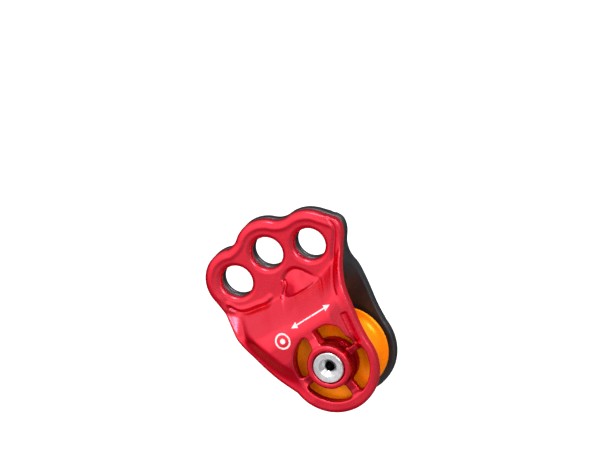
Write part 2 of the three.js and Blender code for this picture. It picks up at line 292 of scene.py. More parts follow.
def sampled(field_of, low, high, step):
    """Mesh of an implicit solid inside a box: field_of takes x, out and z arrays."""
    axes = [np.arange(a - 2 * step, b + 2.5 * step, step) for a, b in zip(low, high)]
    field = field_of(*np.meshgrid(*axes, indexing="ij", sparse=True))
    vertices, quads = surface_net(field)
    return vertices * step + np.array([a[0] for a in axes]), quads


# ---------------------------------------------------------------- side plates

LOBE_GROOVE = spline([(-11.3, 37.8), (-15, 37.4), (-19.2, 38.2), (-25, 39.2), (-28.9, 41.3),
                      (-31.4, 45.6)])
FACET_TOP = spline([(-6.6, 36.0), (-5.4, 37.7), (-4.5, 39.5), (-3.1, 41.9), (-1.1, 44.3), (3.2, 46.3),
                    (7.4, 46.2), (10.3, 43.9), (12.4, 41.1), (14.5, 38.1), (16.6, 35.4)])
FACET_RIDGE = 35.3
FACET_SLOPE = 0.2
FACET_FALL = 0.8                    # slope of the side below the ridge
STEP_WIDTH = 1.3
STEP_RECOVERY = 7.0                 # distance over which the ground below the step climbs back
NOTCH_DEPTH = 0.6
NOTCH = spline([(-0.4, 42.8), (-0.8, 40.8), (-3.0, 39.1), (-5.3, 37.6)])
NOTCH_RIB = spline([(-1.2, 43.0), (-2.0, 41.4), (-3.6, 39.3), (-6.4, 36.6)])
SIDE_GROOVE = spline([(36.2, 56.5), (35.9, 51), (31.9, 46), (28.2, 41.6), (24.6, 36), (22.6, 30),
                      (21.8, 26)])
INNER_CREASE_DROP = 2.2             # how far the inner face's crease lies below the outer one's
CROWN_HEIGHT = 2.2
HUB_SLOPE = 1.6
SPOKE_DROP = 1.6


def crease_height(x):
    """Height at which the flat lobes end and the plate starts to swing out."""
    return np.interp(x, (-37, -33, -30, -26, -21, -14, -6, 0, 14, 18, 22, 27, 31, 36),
                     (46, 42, 39.5, 38.4, 38, 37.6, 36.6, 35.6, 35.4, 35.9, 37, 39, 41.4, 45))


def ramp(x, z, below):
    """0 on the lobes to 1 beside the sheave."""
    t = (crease_height(x) - below - z) / RAMP_RUN
    eased = 0.5 * (np.sqrt((t + 0.02) ** 2 + 0.004) + t + 0.02)
    return np.clip(1.12 * eased / (1 + (1.12 * np.maximum(eased, 0)) ** 5) ** 0.2, 0, 1)


def inner_height(x, z):
    return HALF_PLATE_GAP + (RIM_INNER - HALF_PLATE_GAP) * ramp(x, z, INNER_CREASE_DROP)


def facet(x, z):
    """Raised wedge below the middle and right holes: a face that rises to a ridge, then a fall."""
    top = np.interp(x, FACET_TOP[:, 0], FACET_TOP[:, 1])
    rising = FACET_SLOPE * (top - z)
    falling = FACET_SLOPE * (top - FACET_RIDGE) - FACET_FALL * (FACET_RIDGE - z)
    outside = np.maximum(FACET_TOP[0, 0] - x, x - FACET_TOP[-1, 0])
    return -rounded_max(-np.minimum(rising, falling), outside, 0.3)


def facet_step(x, z):
    """Depth of the step below the facet's upper crease, and of the notch at its left end."""
    top = np.interp(x, FACET_TOP[:, 0], FACET_TOP[:, 1])
    within = (z < top) & (x > FACET_TOP[0, 0]) & (x < FACET_TOP[-1, 0])
    below = distance_to_line(FACET_TOP, x, z) * within
    depth = np.interp(x, (-6.6, -3, 0, 4, 10, 14.5), (0.4, 0.7, 0.9, 1.2, 1.2, 0.3))
    step = depth * np.clip(below / STEP_WIDTH, 0, 1) * (1 - smooth_step((below - STEP_WIDTH) / STEP_RECOVERY))
    notch = bump(distance_to_line(NOTCH, x, z), 0.5) - bump(distance_to_line(NOTCH_RIB, x, z), 0.55)
    return step + NOTCH_DEPTH * notch


def left_valley(x, z, inset):
    """Fall from the plateau's shoulder to the left edge."""
    depth = np.interp(z, (-20, -10, 0, 10, 20), (0.0, 0.3, 1.1, 2.2, 3.1))
    start = np.interp(z, (0, 20), (0.8, 1.6))
    width = np.interp(z, (0, 10, 20), (11.0, 9.4, 7.8))
    valley = -depth * (1 - smooth_step((inset - start) / width))
    return valley * smooth_step((-x - 5) / 9) * smooth_step((46 - z) / 12)


def outer_height(x, z, edge):
    """Outer face of the plate: lobes, facet, ramp, crowned plateau, left valley and edge grooves."""
    radius = np.hypot(x, z)
    inset = -edge
    height = LOBE_OUTER + (RIM_INNER - HALF_PLATE_GAP) * ramp(x, z, 0)
    height = np.maximum(height, LOBE_OUTER + facet(x, z)) - facet_step(x, z)

    crown = smooth_step((inset - 3.5) / 8) * smooth_step((35 - z) / 16) * smooth_step((z + 2) / 14)
    hub_slope = HUB_SLOPE * smooth_step((15 - radius) / 6) * smooth_step((z - 4) / 6)
    spoke_drop = SPOKE_DROP * smooth_step((18.8 - radius) / 3.6) * smooth_step((8 - z) / 3)
    bead = 0.25 * bump(inset - 3.2, 1.1) * smooth_step((z - 47) / 5)
    height = height + CROWN_HEIGHT * crown + hub_slope - spoke_drop + bead + left_valley(x, z, inset)

    lip = distance_to_line(LOBE_GROOVE + np.array([0.4, 1.9]), x, z)
    groove = distance_to_line(LOBE_GROOVE, x, z)
    taper = smooth_step((-10.5 - x) / 6)
    height = height + 0.4 * bump(lip, 1.1) - 1.1 * taper * bump(groove, 0.85)
    side = distance_to_line(SIDE_GROOVE, x, z)
    return height - 0.5 * bump(side, 0.75)


def window_distance(x, z, start, end, radius, corner=None):
    """Signed distance to one lightening window between two spokes, negative inside."""
    r = np.hypot(x, z)

    def beside(spoke, turn):
        angle, half_width = spoke
        a = math.radians(angle)
        return half_width - turn * (z * math.cos(a) - x * math.sin(a))

    d = rounded_max(r - radius, HUB_RADIUS + 0.2 - r, 1.2)
    d = rounded_max(d, beside(start, 1), 1.8)
    d = rounded_max(d, beside(end, -1), 1.8)
    if corner:
        d = rounded_max(d, rounded_max(x - corner[0], z - corner[1], 2.6), 0.8)
    return d


# each spoke's direction in degrees and its half width
RIGHT_SPOKE, TOP_SPOKE = (3.5, 1.6), (89.0, 2.3)
LEFT_SPOKE, BOTTOM_SPOKE = (183.4, 2.1), (275.5, 2.2)
LOWER_WINDOWS = (
    dict(start=TOP_SPOKE, end=LEFT_SPOKE, radius=17.5),
    dict(start=LEFT_SPOKE, end=BOTTOM_SPOKE, radius=18.1),
    dict(start=BOTTOM_SPOKE, end=RIGHT_SPOKE, radius=18.3),
)
UPPER_RIGHT = dict(start=RIGHT_SPOKE, end=TOP_SPOKE)
FRONT_WINDOWS = (dict(radius=20.0, corner=(14.8, 17.5), **UPPER_RIGHT), *LOWER_WINDOWS)
REAR_WINDOWS = (dict(radius=18.2, **UPPER_RIGHT), *LOWER_WINDOWS)
PANEL_CENTRE = (18.9, 9.8)
PANEL_DIRECTION = math.radians(79.5)
PANEL_HALF_LENGTH, PANEL_HALF_WIDTH = 7.8, 1.6


def panel_depth(x, z):
    """Blank recessed panel beside the upper right window, deeper towards the window."""
    dx, dz = x - PANEL_CENTRE[0], z - PANEL_CENTRE[1]
    u = dx * math.cos(PANEL_DIRECTION) + dz * math.sin(PANEL_DIRECTION)
    v = -dx * math.sin(PANEL_DIRECTION) + dz * math.cos(PANEL_DIRECTION)
    distance = rounded_max(np.abs(u) - PANEL_HALF_LENGTH, np.abs(v) - PANEL_HALF_WIDTH, 0.8)
    return (0.8 + 0.25 * v) * smooth_step(0.5 - distance / 0.6)


def plate_field(x, out, z, windows):
    """Signed distance of a side plate, in x, out and z."""
    xs, zs = np.broadcast_arrays(x[:, 0, :], z[:, 0, :])
    outline = distance_to_outline(plate_outline(), xs, zs)
    edge = outline[:, None, :]
    outer_plan = outer_height(xs, zs, outline) - panel_depth(xs, zs)
    inner_plan = inner_height(xs, zs)

    def leaning(height):
        along_x, along_z = np.gradient(height, NET_STEP)
        return (1 / np.sqrt(1 + along_x ** 2 + along_z ** 2))[:, None, :]

    outer = (out - outer_plan[:, None, :]) * leaning(outer_plan)
    inner = (inner_plan[:, None, :] - out) * leaning(inner_plan)

    radius = np.hypot(x, z)
    softer = np.maximum(smooth_step((8 - xs) / 16), smooth_step((zs - 58) / 6))
    body = rounded_max(outer, edge, (1.0 + 0.9 * softer)[:, None, :])
    body = rounded_max(body, inner, 0.9)

    ledge = LEDGE * smooth_step((LEDGE_OUT + 0.5 - out) / 1.0)
    for window in windows:
        hole = window_distance(xs, zs, **window)[:, None, :]
        body = rounded_max(body, -hole, 0.6)
    for hx, hz in ATTACHMENT_HOLES:
        hole = np.hypot(x - hx, z - hz) - ATTACHMENT_RADIUS
        body = rounded_max(body, -hole, 2.3)

    hub = rounded_max(radius - HUB_RADIUS - ledge, out - HUB_OUTER, 0.7)
    hub = rounded_max(hub, HUB_LIP_INNER - out, 0.2)
    hub = rounded_max(hub, -np.maximum(radius - HUB_LIP_BORE, out - HUB_INNER), 0.2)
    body = rounded_min(body, hub, 0.9)
    body = rounded_max(body, HUB_BORE - radius, 0.3)
    recess = np.maximum(radius - HEAD_RECESS_RADIUS, HEAD_RECESS_FLOOR - out)
    return rounded_max(body, -recess, 0.35)


def plate_mesh(windows):
    def field(x, out, z):
        return plate_field(x, out, z, windows)

    return sampled(field, (-37, 0.0, -24), (40, HUB_OUTER, 74), NET_STEP)


# ---------------------------------------------------------------- making objects

def new_object(name, vertices, faces, side=REAR):
    """Object from millimetres about the axle. side is the sign that "out" gets along Y."""
    points = np.asarray(vertices, float) * MM * np.array([1, side, 1]) + np.array(AXLE)
    order = faces if side == REAR else [tuple(reversed(f)) for f in faces]
    mesh = bpy.data.meshes.new(name)
    mesh.from_pydata([tuple(p) for p in points.tolist()], [], [tuple(f) for f in order])
    mesh.validate()
    mesh.shade_smooth()
    obj = bpy.data.objects.new(name, mesh)
    bpy.context.scene.collection.objects.link(obj)
    return obj


def rounded_profile(corners, default=0.25, steps=5):
    """Closed [radius, y] profile with each corner rounded; a third value sets a corner's own radius."""
    points = []
    total = len(corners)
    for i, corner in enumerate(corners):
        here = np.array(corner[:2], float)
        radius = corner[2] if len(corner) > 2 else default
        before = np.array(corners[i - 1][:2], float) - here
        after = np.array(corners[(i + 1) % total][:2], float) - here
        a, b = np.linalg.norm(before), np.linalg.norm(after)
        before, after = before / a, after / b
        half = math.acos(max(-1, min(1, float(before @ after)))) / 2
        if radius <= 0 or half > math.radians(84):
            points.append(here)
            continue
        cut = min(radius / math.tan(half), 0.48 * a, 0.48 * b)
        start, end = here + before * cut, here + after * cut
        for t in np.linspace(0, 1, steps + 1):
            points.append((1 - t) ** 2 * start + 2 * t * (1 - t) * here + t * t * end)
    return points


def turned(name, profile, sides=128):
    """Ring about the axle from a closed [radius, y] profile, y being the row's Y."""
    count = len(profile)
    angles = np.linspace(0, 2 * math.pi, sides, endpoint=False)
    vertices = [(r * math.cos(a), y, r * math.sin(a)) for a in angles for r, y in profile]
    faces = []
    for s in range(sides):
        here, there = s * count, ((s + 1) % sides) * count
        for i in range(count):
            j = (i + 1) % count
            faces.append((here + i, here + j, there + j, there + i))
    area = sum(a[0] * b[1] - b[0] * a[1] for a, b in zip(profile, profile[1:] + profile[:1]))
    if area < 0:
        faces = [tuple(reversed(f)) for f in faces]
    obj = new_object(name, vertices, faces)
    weighted = obj.modifiers.new("weighted", "WEIGHTED_NORMAL")
    weighted.weight = 80
    return obj


def stands_for(obj, body, slot, *nodes):
    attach(obj, body)
    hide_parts(*nodes)
    return obj


# ---------------------------------------------------------------- materials

class Nodes:
    """Short way to write a node tree."""

    def __init__(self, name):
        self.material = bpy.data.materials.new(name)
        self.material.use_nodes = True
        self.tree = self.material.node_tree
        self.shader = self.tree.nodes["Principled BSDF"]

    def add(self, kind, inputs=(), **settings):
        node = self.tree.nodes.new(kind)
        for key, value in settings.items():
            setattr(node, key, value)
        for key, value in dict(inputs).items():
            if isinstance(value, bpy.types.NodeSocket):
                self.tree.links.new(value, node.inputs[key])
            else:
                node.inputs[key].default_value = value
        return node

    def place(self):
        """Object coordinates in millimetres about the axle."""
        where = self.add("ShaderNodeTexCoord").outputs["Object"]
        moved = self.add("ShaderNodeVectorMath", {0: where, 1: tuple(AXLE)}, operation="SUBTRACT")
        scaled = self.add("ShaderNodeVectorMath", {0: moved.outputs[0], "Scale": 1 / MM}, operation="SCALE")
        return scaled.outputs[0]

    def math(self, operation, *values, clamp=False):
        node = self.add("ShaderNodeMath", dict(enumerate(values)), operation=operation)
        node.use_clamp = clamp
        return node.outputs[0]

    def noise(self, vector, scale, detail=3.0, roughness=0.55):
        inputs = {"Vector": vector, "Scale": scale, "Detail": detail, "Roughness": roughness}
        return self.add("ShaderNodeTexNoise", inputs).outputs["Fac"]

    def remap(self, value, low, high, to_low=0.0, to_high=1.0):
        inputs = {"Value": value, "From Min": low, "From Max": high, "To Min": to_low,
                  "To Max": to_high}
        return self.add("ShaderNodeMapRange", inputs).outputs["Result"]

    def mix(self, factor, a, b):
        node = self.add("ShaderNodeMix", data_type="RGBA")
        for socket, value in ((node.inputs[0], factor), (node.inputs[6], a), (node.inputs[7], b)):
            if isinstance(value, bpy.types.NodeSocket):
                self.tree.links.new(value, socket)
            elif isinstance(value, (int, float)):
                socket.default_value = value
            else:
                socket.default_value = (*value, 1.0)
        return node.outputs[2]

    def bump(self, height, distance, strength=1.0, normal=None):
        inputs = {"Height": height, "Distance": distance, "Strength": strength}
        if normal is not None:
            inputs["Normal"] = normal
        return self.add("ShaderNodeBump", inputs).outputs["Normal"]

    def connect(self, **sockets):
        for name, value in sockets.items():
            self.tree.links.new(value, self.shader.inputs[name.replace("_", " ")])


def edge_wear(nodes, place, low, high):
    """1 on exposed edges, broken up by noise."""
    pointiness = nodes.add("ShaderNodeNewGeometry").outputs["Pointiness"]
    edges = nodes.remap(pointiness, low, high)
    patches = nodes.remap(nodes.noise(place, 0.35, 5.0, 0.65), 0.42, 0.62)
    return nodes.math("MULTIPLY", edges, patches, clamp=True)


def scratches(nodes, place, scale, stretch, angle):
    """Fine directional scratches as a height."""
    mapping = {"Vector": place, "Rotation": (0, angle, 0), "Scale": stretch}
    turned_place = nodes.add("ShaderNodeMapping", mapping)
    lines = nodes.noise(turned_place.outputs[0], scale, 2.0, 0.5)
    return nodes.remap(lines, 0.62, 0.7)


def painted_shade_mask(nodes, place):
    """Painted shade: 1 on the sides deep inside the windows and round the foot of the hub, whose colour is
    darkened.
    """
    x, y, z = nodes.add("ShaderNodeSeparateXYZ", {0: place}).outputs
    squares = nodes.math("ADD", nodes.math("MULTIPLY", x, x), nodes.math("MULTIPLY", z, z))
    radius = nodes.math("SQRT", squares)
    out = nodes.math("ABSOLUTE", y)
    wall_shade = nodes.math("MULTIPLY", nodes.remap(out, 14.4, 12.8), nodes.remap(radius, 19.6, 18.8))
    hub = nodes.math("MULTIPLY", nodes.remap(out, 18.2, 16.4), nodes.remap(radius, 11.3, 10.9))
    return nodes.math("MAXIMUM", wall_shade, hub)


def painted_light_mask(nodes):
    """Painted light and shade: 1 on faces turned forward and up, which take the paler colour, 0 on faces
    turned left, down or back, which take the deep colour, in the piece's own axes.
    """
    normal = nodes.add("ShaderNodeTexCoord").outputs["Normal"]
    facing = nodes.add("ShaderNodeVectorMath", {0: normal, 1: (0.85, -0.4, 0.35)}, operation="DOT_PRODUCT")
    return nodes.remap(facing.outputs["Value"], 0.22, 0.5)


def anodised(name, colour, deep, worn, roughness, metallic, front_plate=False, painted_shade_level=1.0):
    """Dyed anodised aluminium: satin grain, slow forging waves, scratches, paler rubbed edges, painted shade
    inside the windows, and on the front plate painted light and shade by the way each face turns.
    """
    nodes = Nodes(name)
    place = nodes.place()
    shade = nodes.remap(nodes.noise(place, 0.07, 4.0), 0.3, 0.7)
    # Painted light and shade on the front plate: faces turned forward and up take the paler colour, faces
    # turned away take the deep colour.
    if front_plate:
        shade = nodes.math("MULTIPLY", painted_light_mask(nodes), nodes.remap(shade, 0.0, 1.0, 0.7, 1.0))
    tint = nodes.mix(shade, deep, colour)
    wear = edge_wear(nodes, place, 0.55, 0.63)
    tint = nodes.mix(nodes.math("MULTIPLY", wear, 0.3), tint, worn)
    # Painted shade: inside the windows and round the hub's foot the colour is darkened towards the deep
    # colour.
    if painted_shade_level < 1:
        wall_shade = painted_shade_mask(nodes, place)
        tint = nodes.mix(wall_shade, tint, tuple(painted_shade_level * c for c in deep))
    lines = nodes.math("MAXIMUM", scratches(nodes, place, 0.9, (0.12, 1, 1.6), 0.5),
                       scratches(nodes, place, 0.7, (1.4, 1, 0.1), -0.35))
    smudge = nodes.remap(nodes.noise(place, 0.16, 5.0, 0.6), 0.3, 0.7, roughness - 0.05, roughness + 0.07)
    rough = nodes.math("ADD", smudge, nodes.math("MULTIPLY", lines, 0.06))
    rough = nodes.math("ADD", rough, nodes.math("MULTIPLY", wear, 0.08))
    nodes.shader.inputs["Metallic"].default_value = metallic
    if front_plate:
        mask = printed_marks(nodes, place)
        tint = nodes.mix(mask, tint, (0.86, 0.8, 0.79))
        rough = nodes.math("ADD", rough, nodes.math("MULTIPLY", mask, 0.25))
        nodes.connect(Metallic=nodes.math("SUBTRACT", metallic, mask, clamp=True))
    grain = nodes.bump(nodes.noise(place, 6.0, 2.0), 0.00002, 0.15)
    waves = nodes.bump(nodes.noise(place, 0.13, 2.0), 0.0006, 0.2, grain)
    marks = nodes.bump(lines, 0.00004, -0.3, waves)
    nodes.connect(Base_Color=tint, Roughness=rough, Normal=marks)
    nodes.shader.inputs["Specular Tint"].default_value = (*(c ** 0.5 for c in deep), 1)
    nodes.shader.inputs["Specular IOR Level"].default_value = 0.25
    nodes.shader.inputs["Coat Weight"].default_value = 0.1
    nodes.shader.inputs["Coat Roughness"].default_value = 0.1
    nodes.shader.inputs["Coat IOR"].default_value = 1.5
    return nodes.material


def turned_metal(name, light, dark, roughness, ring_scale=2.2):
    """Turned metal with concentric tool marks about the axle, and the axle's bore painted near black as
    shade.
    """
    nodes = Nodes(name)
    place = nodes.place()
    x, y, z = nodes.add("ShaderNodeSeparateXYZ", {0: place}).outputs
    squares = nodes.math("ADD", nodes.math("MULTIPLY", x, x), nodes.math("MULTIPLY", z, z))
    radius = nodes.math("SQRT", squares)
    drift = nodes.math("MULTIPLY", x, 0.02)
    along = nodes.add("ShaderNodeCombineXYZ", {0: radius, 1: y, 2: drift}).outputs[0]
    rings = nodes.noise(along, ring_scale * 4, 3.0, 0.7)
    cloud = nodes.noise(place, 0.4, 4.0)
    tint = nodes.mix(nodes.remap(nodes.math("ADD", rings, cloud), 0.75, 1.25), dark, light)
    # Painted shade: inside a radius of 2.1 to 2.5 mm, the axle's bore, the colour goes near black.
    tint = nodes.mix(nodes.remap(radius, 2.1, 2.5), (0.004, 0.004, 0.004), tint)
    rough = nodes.remap(rings, 0.3, 0.7, roughness - 0.06, roughness + 0.1)
    marks = nodes.bump(rings, 0.00006, 0.5)
    nodes.connect(Base_Color=tint, Roughness=rough, Normal=marks)
    nodes.shader.inputs["Metallic"].default_value = 1.0
    nodes.shader.inputs["Anisotropic"].default_value = 0.5
    return nodes.material


def moulded_plastic(name, colour):
    nodes = Nodes(name)
    place = nodes.place()
    cloud = nodes.noise(place, 0.8, 4.0)
    tint = nodes.mix(cloud, colour, tuple(min(1, c * 2.2) for c in colour))
    rough = nodes.remap(cloud, 0.3, 0.7, 0.5, 0.68)
    grain = nodes.bump(nodes.noise(place, 5.0), 0.00005, 0.4)
    nodes.connect(Base_Color=tint, Roughness=rough, Normal=grain)
    return nodes.material


def printed_marks(nodes, place):
    """White print of the front plate: a ring with a dot in it, and a plain two-ended arrow."""
    x, y, z = nodes.add("ShaderNodeSeparateXYZ", {0: place}).outputs

    def distance(cx, cz):
        dx, dz = nodes.math("SUBTRACT", x, cx), nodes.math("SUBTRACT", z, cz)
        total = nodes.math("ADD", nodes.math("MULTIPLY", dx, dx), nodes.math("MULTIPLY", dz, dz))
        return nodes.math("SQRT", total)

    def below(value, limit):
        return nodes.remap(value, limit + 0.07, limit - 0.07)

    centre_x, centre_z = -12.5, 21.0
    r = distance(centre_x, centre_z)
    ring = below(nodes.math("ABSOLUTE", nodes.math("SUBTRACT", r, 3.4)), 0.42)
    dot = below(r, 1.3)
    across = nodes.math("ABSOLUTE", nodes.math("SUBTRACT", x, 6.0))
    height = nodes.math("ABSOLUTE", nodes.math("SUBTRACT", z, 24.0))
    shaft = nodes.math("MULTIPLY", below(across, 8.2), below(height, 0.3))
    wedge = nodes.math("MULTIPLY", nodes.math("SUBTRACT", 11.4, across), 0.45)
    head = nodes.math("MULTIPLY", below(nodes.math("SUBTRACT", height, wedge), 0.0),
                      below(nodes.math("SUBTRACT", 8.2, across), 0.0))
    marks = nodes.math("MAXIMUM", nodes.math("MAXIMUM", ring, dot), nodes.math("MAXIMUM", shaft, head))
    worn = nodes.remap(nodes.noise(place, 1.6, 4.0), 0.34, 0.42)
    on_front = nodes.remap(y, -11.0, -12.0)
    shown = nodes.math("MULTIPLY", marks, worn)
    return nodes.math("MULTIPLY", shown, nodes.math("MULTIPLY", on_front, 0.9))


RED = anodised(
    "red_anodised", colour=(0.8, 0.045, 0.074), deep=(0.72, 0.0006, 0.02), worn=(0.86, 0.14, 0.16),
    roughness=0.25, metallic=0.88, front_plate=True, painted_shade_level=0.4,
)
GREY = anodised(
    "grey_anodised", colour=(0.075, 0.075, 0.08), deep=(0.045, 0.045, 0.05), worn=(0.26, 0.26, 0.27),
    roughness=0.46, metallic=0.95, painted_shade_level=0.5,
)
ORANGE = anodised(
    "orange_anodised", colour=(1.0, 0.27, 0.003), deep=(1.0, 0.22, 0.002), worn=(0.98, 0.5, 0.2),
    roughness=0.26, metallic=0.2,
)
STEEL = turned_metal("turned_steel", (0.86, 0.86, 0.87), (0.62, 0.62, 0.64), 0.24)
BEARING_STEEL = turned_metal("bearing_steel", (0.7, 0.7, 0.72), (0.5, 0.5, 0.52), 0.16)
BRONZE = turned_metal("bronze", (0.62, 0.4, 0.17), (0.42, 0.25, 0.09), 0.3)
BLACK = moulded_plastic("black_plastic", (0.012, 0.012, 0.013))
FINISHES = {
    "front_plate_anodised": RED, "rear_plate_anodised": GREY, "sheave_anodised": ORANGE,
    "turned_steel": STEEL, "bearing_steel": BEARING_STEEL, "bronze": BRONZE, "black_plastic": BLACK,
}
SLOT_OF = {row["node"]: row["material_slot"] for row in frame["record"]["subparts"]}


def finish(obj, node, body):
    """Gives a piece its material and body, and lets it stand for the CAD node."""
    obj.data.materials.clear()
    obj.data.materials.append(FINISHES[SLOT_OF[node]])
    return stands_for(obj, body, SLOT_OF[node], node)


# ---------------------------------------------------------------- pieces

def side_plates():
    front = new_object("front_cheek", *plate_mesh(FRONT_WINDOWS), FRONT)
    finish(front, "front_side_plate", "front_side")
    rear = new_object("rear_cheek", *plate_mesh(REAR_WINDOWS), REAR)
    finish(rear, "rear_side_plate", "rear_side")


def sheave_profile():
    """Closed profile of the sheave: bearing seat, circlip groove, webs, flanges and rope groove."""
    seat, lip, clip, stop = BEARING_SEAT_RADIUS, SHEAVE_LIP_RADIUS, CLIP_GROOVE_RADIUS, BEARING_STOP
    groove = arc((ROPE_GROOVE_CENTRE, 0.0), ROPE_GROOVE_RADIUS, 180 + 78, 180 - 78, 40)
    rear_side = [
        (12.2, WEB_HALF_WIDTH, 0.3), (14.0, WEB_HALF_WIDTH, 2.5), (18.2, SHEAVE_HALF_WIDTH, 2.5),
        (SHEAVE_RADIUS, SHEAVE_HALF_WIDTH, 0.75), (SHEAVE_RADIUS, 6.9, 0.5),
    ]
    front_side = [(r, -y, bevel) for r, y, bevel in rear_side]
    inner = [
        (seat, 6.8, 0.2), (seat, CLIP_GROOVE_END, 0.1), (clip, CLIP_GROOVE_END, 0), (clip, stop, 0),
        (seat, stop, 0), (seat, -stop, 0.1), (lip, -stop, 0), (lip, -WEB_HALF_WIDTH),
    ]
    ends = [(r, y, 0) for r, y in groove]
    return rounded_profile(front_side + ends + rear_side[::-1] + inner)


def axle_profile():
    return rounded_profile([
        (AXLE_BORE, -HEAD_UNDERSIDE, 0.3), (4.4, -19.25, 0.25), (7.0, -HEAD_OUTER, 0.4),
        (HEAD_RADIUS, -18.7, 0.3), (HEAD_RADIUS, -HEAD_UNDERSIDE, 0.15), (AXLE_RADIUS, -HEAD_UNDERSIDE, 0.1),
        (AXLE_RADIUS, HEAD_UNDERSIDE, 0.2), (RIVET_RADIUS, HEAD_UNDERSIDE, 0.1), (RIVET_RADIUS, 18.9, 0.4),
        (3.0, 18.9, 0.3), (AXLE_BORE, 18.2, 0.2),
    ])


def nut_profile():
    return rounded_profile([
        (4.2, 17.2, 0.1), (HEAD_RADIUS, 17.2, 0.15), (HEAD_RADIUS, 18.8, 0.3), (7.0, HEAD_OUTER, 0.3),
        (4.7, HEAD_OUTER, 0.3), (4.2, 18.9, 0.2),
    ])


# bore radius and bevel of the rings that lie at the front and at the rear
RINGS = {
    "spacer": (5.3, 0.3),
    "thrust_washer": (5.3, 0.15),
    "plate_bush": (5.3, 0.3),
    "head_washer": (5.3, 0.08),
    "bearing_shield": (7.3, 0.05),
}


def ring_profile(node, bore, bevel):
    """Plain ring that fills the CAD node's box outside its bore."""
    low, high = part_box(node)
    outer = (high[0] - low[0]) / 2 / MM
    near, far = low[1] / MM, high[1] / MM
    return rounded_profile([(bore, near), (outer, near), (outer, far), (bore, far)], bevel)


def race_profile(bore_side, shoulder, start, end):
    """Race with its ball groove. bore_side is the radius of the plain side, away from the balls."""
    groove = [(r, y, 0) for r, y in arc((BALL_PITCH, 0.0), RACE_GROOVE_RADIUS, start, end, 20)]
    face = BEARING_HALF_WIDTH if bore_side < shoulder else -BEARING_HALF_WIDTH
    return rounded_profile([(bore_side, -face, 0.4), (shoulder, -face, 0.2), *groove,
                            (shoulder, face, 0.2), (bore_side, face, 0.4)])


def turned_pieces():
    finish(turned("sheave_wheel", sheave_profile(), 192), "sheave", "sheave_set")
    finish(turned("hollow_axle", axle_profile(), 160), "axle", "rear_side")
    finish(turned("rear_axle_nut", nut_profile(), 160), "axle_nut", "rear_side")
    inner = race_profile(5.15, 7.0, 237, 123)
    finish(turned("inner_race", inner), "bearing_inner_race", "rear_side")
    outer = race_profile(11.0, 9.0, 57, -57)
    finish(turned("outer_race", outer), "bearing_outer_race", "sheave_set")
    for place in ("front", "rear"):
        for kind, (bore, bevel) in RINGS.items():
            node = f"{place}_{kind}"
            moving = "sheave_set" if kind == "bearing_shield" else "rear_side"
            body = "front_side" if node == "front_plate_bush" else moving
            finish(turned(f"{place}_{kind}_ring", ring_profile(node, bore, bevel)), node, body)


def balls():
    """Polished balls in the places that the frame gives them."""
    for number in range(1, BALL_COUNT + 1):
        node = f"bearing_ball_{number}"
        centre = centre_of(node)
        mesh = bpy.data.meshes.new(f"ball_{number}")
        ball = bpy.data.objects.new(f"ball_{number}", mesh)
        bpy.context.scene.collection.objects.link(ball)
        fill_sphere(mesh, centre, BALL_RADIUS * MM)
        finish(ball, node, "ball_set")


def fill_sphere(mesh, centre, radius):
    shape = bmesh.new()
    bmesh.ops.create_icosphere(shape, subdivisions=4, radius=radius)
    bmesh.ops.translate(shape, verts=shape.verts, vec=centre)
    shape.to_mesh(mesh)
    shape.free()
    mesh.shade_smooth()


def cage_field(x, y, z):
    radius = np.hypot(x, z)
    ring = rounded_max(np.abs(radius - BALL_PITCH) - 0.7, np.abs(y) - 2.45, 0.2)
    for turn in np.radians(np.arange(BALL_COUNT) * 360.0 / BALL_COUNT):
        px, pz = BALL_PITCH * math.cos(turn), BALL_PITCH * math.sin(turn)
        ring = rounded_max(ring, 1.88 - np.sqrt((x - px) ** 2 + y ** 2 + (z - pz) ** 2), 0.1)
    return ring


def circlip_field(x, y, z):
    radius = np.hypot(x, z)
    band = rounded_max(np.abs(radius - 10.85) - 0.95, np.abs(y - 3.95) - 0.35, 0.12)
    gap = rounded_max(np.abs(x) - 2.5, -z, 0.1)
    return rounded_max(band, -gap, 0.2)


def sampled_pieces():
    vertices, quads = sampled(cage_field, (-8.8, -2.6, -8.8), (8.8, 2.6, 8.8), 0.2)
    finish(new_object("ball_cage", vertices, quads), "bearing_cage", "ball_set")
    vertices, quads = sampled(circlip_field, (-11.9, 3.5, -11.9), (11.9, 4.4, 11.9), 0.18)
    finish(new_object("circlip", vertices, quads), "bearing_circlip", "sheave_set")


# ---------------------------------------------------------------- camera, light, floor

VIEW_WIDTH = 277.27                 # millimetres that the view takes in at the pulley
CAMERA_DISTANCE = 4.0               # metres
SENSOR_WIDTH = 36
TILT = math.radians(28)             # between the view and the axle
TURN = math.radians(13.1)           # direction of that tilt in the plate's plane, from +X towards +Z
ROLL = math.radians(43.35)          # of the direction that keeps its length, below the view's right
HEAD_FROM_CENTRE = (10.5, -65.09)   # millimetres right and up from the view's middle to the axle's head
LIGHT_AXIS = Vector((0.35, -0.6, 0.72)).normalized()


def camera():
    unshortened = Vector((math.sin(TURN), 0, -math.cos(TURN)))
    sideways = Vector((math.cos(TURN), 0, math.sin(TURN)))
    shortened = sideways * math.cos(TILT) + Vector((0, 1, 0)) * math.sin(TILT)
    looking = Vector((0, 1, 0)) * math.cos(TILT) - sideways * math.sin(TILT)
    right = unshortened * math.cos(ROLL) + shortened * math.sin(ROLL)
    up = shortened * math.cos(ROLL) - unshortened * math.sin(ROLL)
    head = AXLE + Vector((0, -HEAD_OUTER * MM, 0))
    across, above = (v * MM for v in HEAD_FROM_CENTRE)
    target = head - right * across - up * above
    data = bpy.data.cameras.new("camera")
    data.sensor_width = SENSOR_WIDTH
    data.lens = SENSOR_WIDTH * CAMERA_DISTANCE / (VIEW_WIDTH * MM)
    data.clip_end = 50
    obj = bpy.data.objects.new("camera", data)
    rotation = Matrix((right, up, -looking)).transposed().to_4x4()
    obj.matrix_world = Matrix.Translation(target - looking * CAMERA_DISTANCE) @ rotation
    bpy.context.scene.collection.objects.link(obj)
    bpy.context.scene.camera = obj


